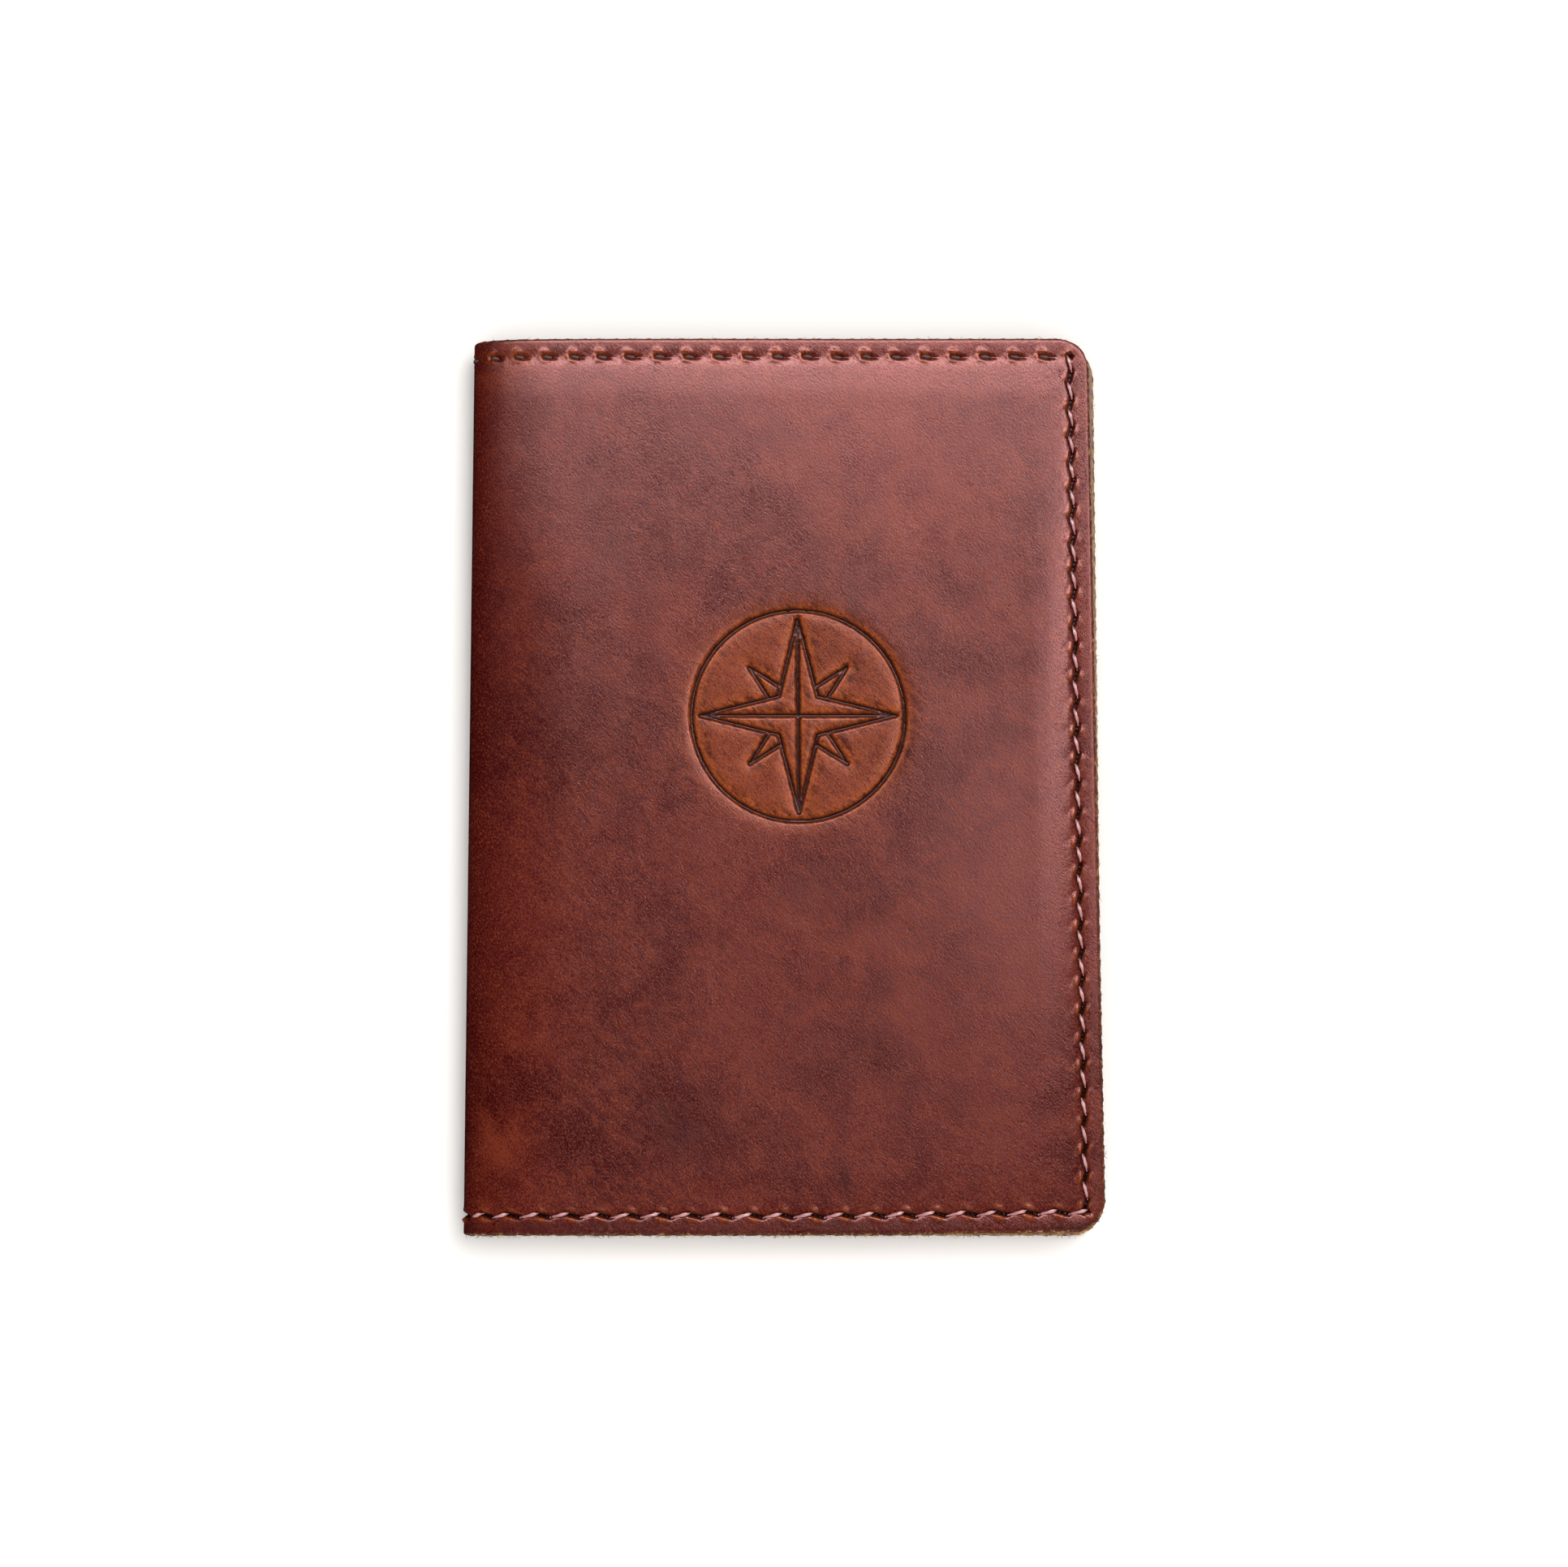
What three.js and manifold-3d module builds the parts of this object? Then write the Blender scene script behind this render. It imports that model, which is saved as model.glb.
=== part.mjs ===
// A leather notebook cover, closed and lying on its back, with the stapled booklet that it holds.
//
// Millimetres, +Z up. The spine is at -X, the fore edge at +X and the head of the book at +Y.
// The origin is in the middle of the footprint, on the surface that the back panel rests on.
// Every layer of the front half is the mirror image of the back half in the plane z = midHeight.

import * as THREE from 'three';
import { mergeVertices } from 'three/addons/utils/BufferGeometryUtils.js';
import Module from 'manifold-3d';

const wasm = await Module();
wasm.setup();

// Outer leather: one sheet that runs from the front panel round the spine to the back panel.
const coverHeight = 144;
const coverWidth = 101;
const coverThickness = 9.9;
const leather = 1.6;
const cornerRadius = 5;

const midHeight = coverThickness / 2;
const halfHeight = coverHeight / 2;
const foreEdge = coverWidth / 2;
const spineOuter = midHeight;
const spineInner = spineOuter - leather;
const spineX = spineOuter - coverWidth / 2;
const stripHalfAngle = 30;
const seamGap = 0.1;

// Stitching: a groove along the border with the thread lying in it.
const stitchInset = 3;
const grooveWidth = 0.9;
const grooveDepth = 0.4;
const threadWidth = 0.6;
const threadThickness = 0.35;
const threadSeat = 0.03;

// Sleeves: the inner pockets that the booklet's card cover slips into.
const sleeveLeather = 1.1;
const pocketGap = 0.75;
const sleeveEdgeX = -12;
const sleeveRim = 4.5;

// Booklet: 88 x 125 mm, a card cover and two halves of the leaves, stapled through the fold.
const bookletHeight = 125;
const bookletForeEdge = 39.6;
const card = 0.3;
const cardOuter = 3.0;
const cardInner = cardOuter - card;
const leafHeight = 124;
const leafForeEdge = 39.2;
const leafStart = -46.9;
const leafHalf = 1.25;
const leafMidGap = 0.03;
const foldRadius = 1.2;
const foldFlatX = -47.0;

// Staples: flat wire, crown outside the card and ends clinched in the middle of the fold.
const stapleY = 31;
const stapleLength = 12;
const wire = 0.3;
const wireWidth = 0.5;
const crownOuterX = spineX - 3.32;
const clinchX = -47.1;
const clinchLength = 4;
const stapleClearance = 0.3;

// Stamped compass rose on the front panel.
const roseX = 3.1;
const roseY = 10.2;
const roseDepth = 0.5;
const ringRadius = 17;
const ringWidth = 1;
const longPoint = 14.5;
const shortPoint = 10;
const pointGap = 1.2;

const overcut = 0.5;
const arcSteps = 8;
const arcStep = 7.5;

const degrees = THREE.MathUtils.degToRad;

// ---------------------------------------------------------------- solids

function solidOf(geometry) {
  const bare = geometry.clone();
  bare.deleteAttribute('normal');
  bare.deleteAttribute('uv');
  const merged = mergeVertices(bare);
  return new wasm.Manifold(new wasm.Mesh({
    numProp: 3,
    vertProperties: Float32Array.from(merged.attributes.position.array),
    triVerts: Uint32Array.from(merged.index.array),
  }));
}

function geometryOf(solid) {
  const mesh = solid.getMesh();
  const geometry = new THREE.BufferGeometry();
  geometry.setAttribute('position', new THREE.BufferAttribute(mesh.vertProperties, 3));
  geometry.setIndex(new THREE.BufferAttribute(mesh.triVerts, 1));
  geometry.computeVertexNormals();
  return geometry;
}

function carved(geometry, cutters) {
  const solid = cutters.reduce((rest, cutter) => rest.subtract(solidOf(cutter)), solidOf(geometry));
  return geometryOf(solid);
}

function joined(geometries) {
  const [first, ...others] = geometries.map(solidOf);
  return geometryOf(others.reduce((whole, other) => whole.add(other), first));
}

// ---------------------------------------------------------------- outlines

// Two straight sides, a straight left end at startX and round corners at the fore edge, all moved in
// from the leather's outline by inset.
function panelOutline(startX, inset = 0) {
  const right = foreEdge - inset;
  const top = halfHeight - inset;
  const radius = cornerRadius - inset;
  const outline = new THREE.Shape();
  outline.moveTo(startX, -top);
  outline.lineTo(right - radius, -top);
  outline.absarc(right - radius, radius - top, radius, -Math.PI / 2, 0, false);
  outline.lineTo(right, top - radius);
  outline.absarc(right - radius, top - radius, radius, 0, Math.PI / 2, false);
  outline.lineTo(startX, top);
  return outline;
}

// The band between two insets, open at the spine side: the run of the stitches, or a stitched rim.
function borderOutline(startX, outerInset, innerInset) {
  const border = panelOutline(startX, outerInset);
  const inner = panelOutline(startX, innerInset).getPoints(arcSteps).reverse();
  inner.forEach((point) => border.lineTo(point.x, point.y));
  return border;
}

function plate(outline, low, thickness) {
  const geometry = new THREE.ExtrudeGeometry(outline, {
    depth: thickness, curveSegments: arcSteps, bevelEnabled: false,
  });
  return geometry.translate(0, 0, low);
}

// A section drawn in X and Z, extruded along Y.
function barAlongY(section, length, middleY, curveSegments) {
  const geometry = new THREE.ExtrudeGeometry(section, {
    depth: length, curveSegments, bevelEnabled: false,
  });
  return geometry.translate(0, 0, -length / 2).rotateX(Math.PI / 2).translate(0, middleY, 0);
}

// Part of a tube about the spine's centre line. Angles are in degrees from +X towards +Z.
function spineArc(inner, outer, from, to, length, middleY = 0) {
  const section = new THREE.Shape();
  section.absarc(spineX, midHeight, outer, degrees(from), degrees(to), false);
  section.absarc(spineX, midHeight, inner, degrees(to), degrees(from), true);
  return barAlongY(section, length, middleY, Math.round((to - from) / arcStep));
}

function box(low, high) {
  const geometry = new THREE.BoxGeometry(high[0] - low[0], high[1] - low[1], high[2] - low[2]);
  return geometry.translate((low[0] + high[0]) / 2, (low[1] + high[1]) / 2, (low[2] + high[2]) / 2);
}

// ---------------------------------------------------------------- layers of one half

// Heights are measured down from the front face on the front half, and up from the rest face on the
// back half, so one function serves both.
function layer(outline, side, depth, thickness) {
  const low = side === 'front' ? coverThickness - depth - thickness : depth;
  return plate(outline, low, thickness);
}

const stitchBand = (startX, width) => borderOutline(
  startX, stitchInset - width / 2, stitchInset + width / 2,
);

function roseCutters() {
  const low = coverThickness - roseDepth;
  const thickness = roseDepth + overcut;
  const ring = new THREE.Shape();
  ring.absarc(0, 0, ringRadius + ringWidth / 2, 0, 2 * Math.PI, false);
  const hole = new THREE.Path();
  hole.absarc(0, 0, ringRadius - ringWidth / 2, 0, 2 * Math.PI, true);
  ring.holes.push(hole);
  const ringCutter = new THREE.ExtrudeGeometry(ring, {
    depth: thickness, curveSegments: 4 * arcSteps, bevelEnabled: false,
  });
  const cutters = [ringCutter.translate(roseX, roseY, low)];
  for (let point = 0; point < 8; point += 1) {
    const reach = point % 2 === 0 ? longPoint : shortPoint;
    const half = new THREE.Shape();
    half.moveTo(pointGap, 0);
    half.lineTo(reach, 0);
    half.lineTo(pointGap + reach / 6, reach / 6);
    const cutter = new THREE.ExtrudeGeometry(half, { depth: thickness, bevelEnabled: false });
    cutter.rotateZ(point * Math.PI / 4);
    cutters.push(cutter.translate(roseX, roseY, low));
  }
  return cutters;
}

function outerPanel(side) {
  const panel = layer(panelOutline(spineX), side, 0, leather);
  const groove = layer(
    stitchBand(spineX - overcut, grooveWidth), side, -overcut, grooveDepth + overcut,
  );
  const stamp = side === 'front' ? roseCutters() : [];
  return carved(panel, [groove, ...stamp]);
}

function sleeve(side) {
  const rim = layer(borderOutline(sleeveEdgeX, 0, sleeveRim), side, leather, pocketGap);
  const sheet = layer(panelOutline(sleeveEdgeX), side, leather + pocketGap, sleeveLeather);
  const insideFace = leather + pocketGap + sleeveLeather;
  const groove = layer(
    stitchBand(sleeveEdgeX - overcut, grooveWidth), side,
    insideFace - grooveDepth, grooveDepth + overcut,
  );
  return carved(joined([rim, sheet]), [groove]);
}

function faceThread(side) {
  return layer(
    stitchBand(spineX, threadWidth), side, grooveDepth - threadThickness, threadThickness,
  );
}

function liningThread(side) {
  const insideFace = leather + pocketGap + sleeveLeather;
  return layer(
    stitchBand(sleeveEdgeX, threadWidth), side, insideFace - grooveDepth, threadThickness,
  );
}

function cardPanel(side) {
  const outline = new THREE.Shape();
  outline.moveTo(spineX, -bookletHeight / 2);
  outline.lineTo(bookletForeEdge, -bookletHeight / 2);
  outline.lineTo(bookletForeEdge, bookletHeight / 2);
  outline.lineTo(spineX, bookletHeight / 2);
  return layer(outline, side, midHeight - cardOuter, card);
}

function leafBlock(side) {
  const near = leafMidGap;
  const far = leafHalf;
  const low = side === 'front' ? midHeight + near : midHeight - far;
  return box(
    [leafStart, -leafHeight / 2, low],
    [leafForeEdge, leafHeight / 2, low + far - near],
  );
}

// ---------------------------------------------------------------- spine

const seamAngle = THREE.MathUtils.radToDeg(seamGap / spineInner);
const stripFrom = 180 - stripHalfAngle;
const stripTo = 180 + stripHalfAngle;
const stitchY = halfHeight - stitchInset;

// A length of the rounded spine, with the stitch grooves near its head and tail.
function spineLeather(from, to) {
  const arc = spineArc(spineInner, spineOuter, from, to, coverHeight);
  const grooves = [stitchY, -stitchY].map((y) => spineArc(
    spineOuter - grooveDepth, spineOuter + overcut, from - 5, to + 5, grooveWidth, y,
  ));
  return carved(arc, grooves);
}

function spineThread(y) {
  const seat = spineOuter - grooveDepth + threadSeat;
  return spineArc(seat, seat + threadThickness, 90 + seamAngle, 270 - seamAngle, threadWidth, y);
}

const stapleCentres = [stapleY, -stapleY];

function stapleOutline(middleY) {
  const end = stapleLength / 2;
  const outline = new THREE.Shape();
  outline.moveTo(crownOuterX, middleY - end);
  outline.lineTo(clinchX, middleY - end);
  outline.lineTo(clinchX, middleY - end + clinchLength);
  outline.lineTo(clinchX - wire, middleY - end + clinchLength);
  outline.lineTo(clinchX - wire, middleY - end + wire);
  outline.lineTo(crownOuterX + wire, middleY - end + wire);
  outline.lineTo(crownOuterX + wire, middleY + end - wire);
  outline.lineTo(clinchX - wire, middleY + end - wire);
  outline.lineTo(clinchX - wire, middleY + end - clinchLength);
  outline.lineTo(clinchX, middleY + end - clinchLength);
  outline.lineTo(clinchX, middleY + end);
  outline.lineTo(crownOuterX, middleY + end);
  return outline;
}

const staple = (middleY) => plate(stapleOutline(middleY), midHeight - wireWidth / 2, wireWidth);

// The folded back of the card cover, with a slot for each staple leg.
function cardSpine() {
  const arc = spineArc(cardInner, cardOuter, 90 + seamAngle, 270 - seamAngle, bookletHeight);
  const halfSlot = wire / 2 + stapleClearance;
  const halfTall = wireWidth / 2 + stapleClearance;
  const slots = stapleCentres.flatMap((y) => [-1, 1].map((end) => {
    const legY = y + end * (stapleLength - wire) / 2;
    return box(
      [spineX - cardOuter - overcut, legY - halfSlot, midHeight - halfTall],
      [spineX - cardInner + overcut, legY + halfSlot, midHeight + halfTall],
    );
  }));
  return carved(arc, slots);
}

// The folds of the leaves, nested into a half-round bar, open where the staples are clinched.
function leafFold() {
  const section = new THREE.Shape();
  section.absarc(foldFlatX, midHeight, foldRadius, Math.PI / 2, 3 * Math.PI / 2, false);
  const halfWindow = stapleLength / 2 + stapleClearance;
  const halfTall = wireWidth / 2 + stapleClearance;
  const windows = stapleCentres.map((y) => box(
    [foldFlatX - foldRadius - overcut, y - halfWindow, midHeight - halfTall],
    [foldFlatX + overcut, y + halfWindow, midHeight + halfTall],
  ));
  return carved(barAlongY(section, leafHeight, 0, 2 * arcSteps), windows);
}

// ---------------------------------------------------------------- materials

function material(color, roughness, metalness = 0) {
  return new THREE.MeshStandardMaterial({ color, roughness, metalness });
}

const grainLeather = () => material(0x7a3530, 0.5);
const sleeveSuede = () => material(0x8a4a38, 0.7);
const waxedThread = () => material(0x6b2a24, 0.6);
const kraftCard = () => material(0xb08a5e, 0.85);
const paper = () => material(0xece4d2, 0.9);
const steel = () => material(0xb8bcc0, 0.3, 1);

// ---------------------------------------------------------------- assembly

const notebookCover = new THREE.Group();

function add(name, geometry, finish) {
  const mesh = new THREE.Mesh(geometry, finish);
  mesh.name = name;
  notebookCover.add(mesh);
}

for (const side of ['front', 'back']) {
  add(`${side}_panel`, outerPanel(side), grainLeather());
  add(`${side}_sleeve`, sleeve(side), sleeveSuede());
  add(`${side}_face_thread`, faceThread(side), waxedThread());
  add(`${side}_lining_thread`, liningThread(side), waxedThread());
  add(`${side}_card`, cardPanel(side), kraftCard());
  add(`${side}_leaf_block`, leafBlock(side), paper());
}

add('front_spine_bend', spineLeather(90 + seamAngle, stripFrom - seamAngle), grainLeather());
add('spine_strip', spineLeather(stripFrom, stripTo), grainLeather());
add('back_spine_bend', spineLeather(stripTo + seamAngle, 270 - seamAngle), grainLeather());
add('spine_head_thread', spineThread(stitchY), waxedThread());
add('spine_tail_thread', spineThread(-stitchY), waxedThread());
add('card_spine', cardSpine(), kraftCard());
add('leaf_fold', leafFold(), paper());
add('head_staple', staple(stapleCentres[0]), steel());
add('tail_staple', staple(stapleCentres[1]), steel());

export default notebookCover;
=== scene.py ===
"""Looks for a leather notebook cover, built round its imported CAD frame.

Lengths in this script are millimetres until a mesh is made. A point on the leather is given by s, the
distance along the leather from the middle of the spine, v, the height up the cover (the frame's Y), and
h, the height out of its face. The back half is the front half's mirror image in the plane z = MID.
"""
import math

import bmesh
import bpy
import numpy as np
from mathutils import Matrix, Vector


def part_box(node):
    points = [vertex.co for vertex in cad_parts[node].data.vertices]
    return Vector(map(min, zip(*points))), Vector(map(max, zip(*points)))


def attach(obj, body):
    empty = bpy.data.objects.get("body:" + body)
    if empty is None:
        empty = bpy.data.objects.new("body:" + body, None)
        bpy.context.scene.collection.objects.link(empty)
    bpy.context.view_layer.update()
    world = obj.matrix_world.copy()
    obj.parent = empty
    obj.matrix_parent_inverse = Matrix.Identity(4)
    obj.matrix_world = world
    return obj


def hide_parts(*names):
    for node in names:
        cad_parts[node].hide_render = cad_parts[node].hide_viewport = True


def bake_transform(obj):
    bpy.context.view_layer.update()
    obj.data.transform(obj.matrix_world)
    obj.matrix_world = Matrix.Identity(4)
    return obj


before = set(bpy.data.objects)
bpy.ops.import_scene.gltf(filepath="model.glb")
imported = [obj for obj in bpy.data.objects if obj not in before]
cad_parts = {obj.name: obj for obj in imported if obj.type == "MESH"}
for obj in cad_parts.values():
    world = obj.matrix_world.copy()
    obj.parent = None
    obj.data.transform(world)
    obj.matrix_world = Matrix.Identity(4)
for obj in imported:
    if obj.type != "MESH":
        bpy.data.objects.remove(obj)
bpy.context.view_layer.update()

MM = 0.001


def box_mm(node):
    low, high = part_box(node)
    return np.array(low) / MM, np.array(high) / MM


# ---------------- dimensions, from the frame

PANEL_LOW, PANEL_HIGH = box_mm("front_panel")
SLEEVE_LOW, SLEEVE_HIGH = box_mm("back_sleeve")
CARD_LOW, CARD_HIGH = box_mm("front_card")
LEAF_LOW, LEAF_HIGH = box_mm("front_leaf_block")
FOLD_LOW, FOLD_HIGH = box_mm("leaf_fold")

TOP = PANEL_HIGH[2]
MID = TOP / 2
HALF_HEIGHT = PANEL_HIGH[1]
FORE_X = PANEL_HIGH[0]
SPINE_X = box_mm("spine_strip")[0][0]
LEATHER = PANEL_HIGH[2] - PANEL_LOW[2]
CORNER = 5.0
CARD_CORNER = 3.0
LEAF_CORNER = 5.0
STITCH_INSET = 3.0
STITCH_Y = HALF_HEIGHT - STITCH_INSET

# The stamped rose.
ROSE_X, ROSE_Y = 3.1, 10.2
RING_RADIUS = 17.0
LONG_POINT, SHORT_POINT, WAIST = 15.6, 11.0, 4.4
LINE_WIDTH = 0.95
STAMP_DEPTH = 0.55
STAMP_SPACING = 0.21     # of the mesh, over the rose


# ---------------- small numeric helpers

def smooth(t):
    """0 below 0, 1 above 1, smooth between."""
    t = np.clip(t, 0.0, 1.0)
    return t * t * (3 - 2 * t)


def unit(vectors):
    return vectors / np.linalg.norm(vectors, axis=1, keepdims=True)


def bell(distance, width):
    """1 at no distance, falling away on both sides."""
    return np.exp(-((distance / width) ** 2))


def graded(low, high, coarse, zones=()):
    """Rising values from low to high, coarse apart, and closer in each zone (from, to, spacing)."""
    values = [low]
    while values[-1] < high - 1e-6:
        here = values[-1]
        step = min([coarse] + [gap for start, end, gap in zones if start - gap <= here < end])
        values.append(min(here + step, high))
    if len(values) > 2 and values[-1] - values[-2] < 0.3 * (values[-2] - values[-3]):
        del values[-2]
    return np.array(values)


def gentle_waves(x, y, seed, wavelength, height, count=6):
    """Smooth low swells from a few sine waves in seeded directions."""
    rng = np.random.default_rng(seed)
    total = np.zeros_like(x)
    for _ in range(count):
        angle = rng.uniform(0, 2 * math.pi)
        length = wavelength * rng.uniform(0.7, 1.5)
        phase = rng.uniform(0, 2 * math.pi)
        total += np.sin(2 * math.pi * (x * math.cos(angle) + y * math.sin(angle)) / length + phase)
    return height * total / count


# ---------------- the leather's section

def spine_section():
    """s, x, z and turn of the outer face over the bend, whose curvature falls away to the panel."""
    step = np.linspace(0, 1, 400)
    curve = 1 - step ** 1.5
    turn = np.concatenate([[0], np.cumsum((curve[1:] + curve[:-1]) / 2)])
    turn *= math.pi / 2 / turn[-1]
    gap = step[1] - step[0]
    x = np.concatenate([[0], np.cumsum((np.sin(turn[1:]) + np.sin(turn[:-1])) / 2 * gap)])
    z = np.concatenate([[0], np.cumsum((np.cos(turn[1:]) + np.cos(turn[:-1])) / 2 * gap)])
    scale = (TOP - MID) / z[-1]
    return step * scale, x * scale, z * scale, turn


BEND_S, BEND_X, BEND_Z, BEND_TURN = spine_section()
BEND_LENGTH = BEND_S[-1]
BEND_SPAN = BEND_X[-1]
FORE_S = BEND_LENGTH + FORE_X - SPINE_X - BEND_SPAN
SLEEVE_START = FORE_S - FORE_X + SLEEVE_LOW[0]


def leather_base(s):
    """x, z and outward normal of the outer face of the front half."""
    turn = np.interp(s, BEND_S, BEND_TURN)
    x = SPINE_X + np.interp(s, BEND_S, BEND_X) + np.maximum(s - BEND_LENGTH, 0)
    z = MID + np.interp(s, BEND_S, BEND_Z)
    return x, z, -np.cos(turn), np.sin(turn)


def sleeve_base(s):
    """The same for the lining face of the back sleeve, which is flat."""
    flat = np.zeros_like(s)
    return s - FORE_S + FORE_X, flat + SLEEVE_HIGH[2], flat, flat + 1


def front_skew(points):
    """The front panel lies short of the back one, most at the head, and its tail corner lies higher."""
    short = 0.75 + 0.55 * points[:, 1] / HALF_HEIGHT
    raised = 0.55 * smooth((points[:, 0] - 5) / 45) * smooth((-points[:, 1] - 25) / 45)
    points[:, 0] -= short * smooth((points[:, 0] - SPINE_X - 4) / 25)
    points[:, 1] += raised
    return points


def place(base, s, v, h, side):
    x, z, nx, nz = base(s)
    points = np.stack([x + nx * h, v, z + nz * h], -1)
    mirrored = (side == "back") == (base is leather_base)
    if mirrored:
        points[:, 2] = 2 * MID - points[:, 2]
    return front_skew(points) if side == "front" else points


# ---------------- the surface's relief

def edge_distance(s, v):
    """Distance in from the cut outline, with its two round corners."""
    from_fore = FORE_S - s
    from_side = HALF_HEIGHT - np.abs(v)
    corner = CORNER - np.hypot(CORNER - from_fore, CORNER - from_side)
    near_corner = (from_fore < CORNER) & (from_side < CORNER)
    return np.where(near_corner, corner, np.minimum(from_fore, from_side))


def rounded_edge(distance, radius=0.45):
    inside = np.clip(radius - distance, 0, radius)
    return -radius + np.sqrt(np.maximum(radius ** 2 - inside ** 2, 0))


# How the head, fore-edge and tail rows lie. The thread's bed: its depth, width, painted shade and how
# far it closes along the stitch. The slit between stitches: its half width, gape. The leather round them:
# how high it stands outside, inside and just before a stitch (lip), where along the pitch, and how it
# puckers. The thread: its slant (zigzag), where it peaks (lean), how deep it lies and how much painted
# shade darkens it. Last, the aim for one stitch's length.
MANNERS = [
    {
        "bed": 0.80, "bed_width": 0.40, "shade": 1.0, "closing": 0.8, "gape": 0.0,
        "outer": 0.22, "inner": 0.13, "lip": 0.20, "crest": 0.06, "pucker": 0.0,
        "zigzag": -0.16, "lean": 0.62, "sunk": 0.62, "thread_shade": 1.0, "pitch": 4.8,
    },
    {
        "bed": 0.32, "bed_width": 0.26, "shade": 0.75, "closing": 0.0, "gape": 0.33,
        "outer": 0.14, "inner": 0.26, "lip": 0.0, "crest": 0.78, "pucker": 0.035,
        "zigzag": 0.3, "lean": 0.8, "sunk": -0.03, "thread_shade": 0.0, "pitch": 4.4,
    },
    {
        "bed": 0.30, "bed_width": 0.27, "shade": 0.30, "closing": 0.0, "gape": 0.34,
        "outer": 0.34, "inner": 0.16, "lip": 0.0, "crest": 0.86, "pucker": 0.0,
        "zigzag": 0.3, "lean": 0.55, "sunk": -0.10, "thread_shade": 0.0, "pitch": 4.8,
    },
]
THREAD_SHARE = 0.50      # of a stitch's length, the rest being the slit
SPINE_ROUND = 3.0        # beds are shallow up to here from the spine's middle, full at twice as far


def stitch_rows(start_s):
    """Each straight row: start, direction, outward direction, number of stitches, pitch and manner."""
    fore = FORE_S - STITCH_INSET
    corners = [(start_s, STITCH_Y), (fore, STITCH_Y), (fore, -STITCH_Y), (start_s, -STITCH_Y)]
    outward = [(0, 1), (1, 0), (0, -1)]
    rows = []
    for begin, end, out, manner in zip(corners[:-1], corners[1:], outward, MANNERS):
        span = np.subtract(end, begin)
        length = np.hypot(*span)
        count = round(length / manner["pitch"])
        rows.append((np.array(begin), span / length, np.array(out), count, length / count, manner))
    return rows


def zigzag(f, swing):
    """Sideways place of the thread, then of the slit that leads to the next one."""
    along_thread = -swing + 2 * swing * f / THREAD_SHARE
    along_slit = swing - 2 * swing * (f - THREAD_SHARE) / (1 - THREAD_SHARE)
    return np.where(f < THREAD_SHARE, along_thread, along_slit)


def from_centre(f, centre):
    """Signed distance from centre within a pattern that repeats every 1."""
    return (f - centre + 0.5) % 1 - 0.5


def stitch_relief(s, v, start_s):
    """Height, painted shade of the slits and beds, and pull of the leather round the stitches."""
    height = np.zeros_like(s)
    dark = np.zeros_like(s)
    pull = np.zeros_like(s)
    for begin, along, out, count, pitch, manner in stitch_rows(start_s):
        a = ((s - begin[0]) * along[0] + (v - begin[1]) * along[1]) / pitch
        c = (s - begin[0]) * out[0] + (v - begin[1]) * out[1]
        on_row = (a > -0.12) & (a < count + 0.12) & (np.abs(c) < 3.6)
        f = a - np.floor(a)
        vary = 0.7 + 0.6 * np.abs(np.sin(np.floor(a) * 2.1 + begin[1]))
        off = c - zigzag(f, manner["zigzag"])
        in_slit = smooth((0.30 - np.abs(from_centre(f, 0.77))) / 0.10)
        from_start = from_centre(f, 0.26) + 0.26
        bed = smooth((0.33 - np.abs(from_start - 0.26)) / 0.10)
        bed *= 1 - manner["closing"] * smooth((from_start - 0.12) / 0.40)
        bed_width = manner["bed_width"] * (0.6 + 0.4 * bed)
        bed_depth = manner["bed"] * (0.25 + 0.75 * smooth(s / SPINE_ROUND - 1))
        slit = in_slit * bell(off, max(manner["gape"], 0.1)) * (manner["gape"] > 0)
        inward = 0.12 * (manner["gape"] > 0)
        trench = np.maximum(0.70 * slit, bed_depth * bed * bell(off + inward, bed_width))
        near_crest = from_centre(f, manner["crest"])
        mound = vary * bell(near_crest, 0.15)
        outer = manner["outer"] * bell(off - 0.72, 0.38)
        inner = manner["inner"] * bell(off + 0.72, 0.38)
        lip = manner["lip"] * bell(from_centre(f, 0.89), 0.07) * bell(off, 0.45)
        pucker = manner["pucker"] * vary * bell(c + 1.3, 0.7) * (1 - 1.6 * bell(near_crest, 0.2))
        valley = 0.13 * bell(c, 1.0)
        height += np.where(on_row, mound * (outer + inner) + lip + pucker - valley - trench, 0)
        # Painted shade: the slits and the thread's beds are painted dark.
        shade = 1.5 * slit + manner["shade"] * bed * bell(off + 2 * inward, 0.27)
        dark = np.maximum(dark, np.where(on_row, np.minimum(1, shade), 0))
        raised = 3.2 * mound * (outer + inner) + 4 * lip
        pull = np.maximum(pull, np.where(on_row, np.minimum(1, raised), 0))
    return height, dark, pull


def rose_lines():
    """The rose's straight lines, as pairs of points about its centre."""
    lines = []
    for quarter in range(4):
        turn = quarter * math.pi / 2
        spin = np.array([[math.cos(turn), -math.sin(turn)], [math.sin(turn), math.cos(turn)]])
        half = math.pi / 4
        tip = np.array([LONG_POINT, 0.0])
        waist = WAIST * np.array([math.cos(half), math.sin(half)])
        lower_waist = WAIST * np.array([math.cos(half), -math.sin(half)])
        short_tip = SHORT_POINT * np.array([math.cos(half), math.sin(half)])
        on_edge = waist + 0.12 * (tip - waist)
        mirrored = on_edge[::-1]
        pairs = [(tip, waist), (tip, lower_waist), (tip, np.zeros(2)),
                 (short_tip, on_edge), (short_tip, mirrored)]
        lines += [(spin @ a, spin @ b) for a, b in pairs]
    return lines


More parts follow.
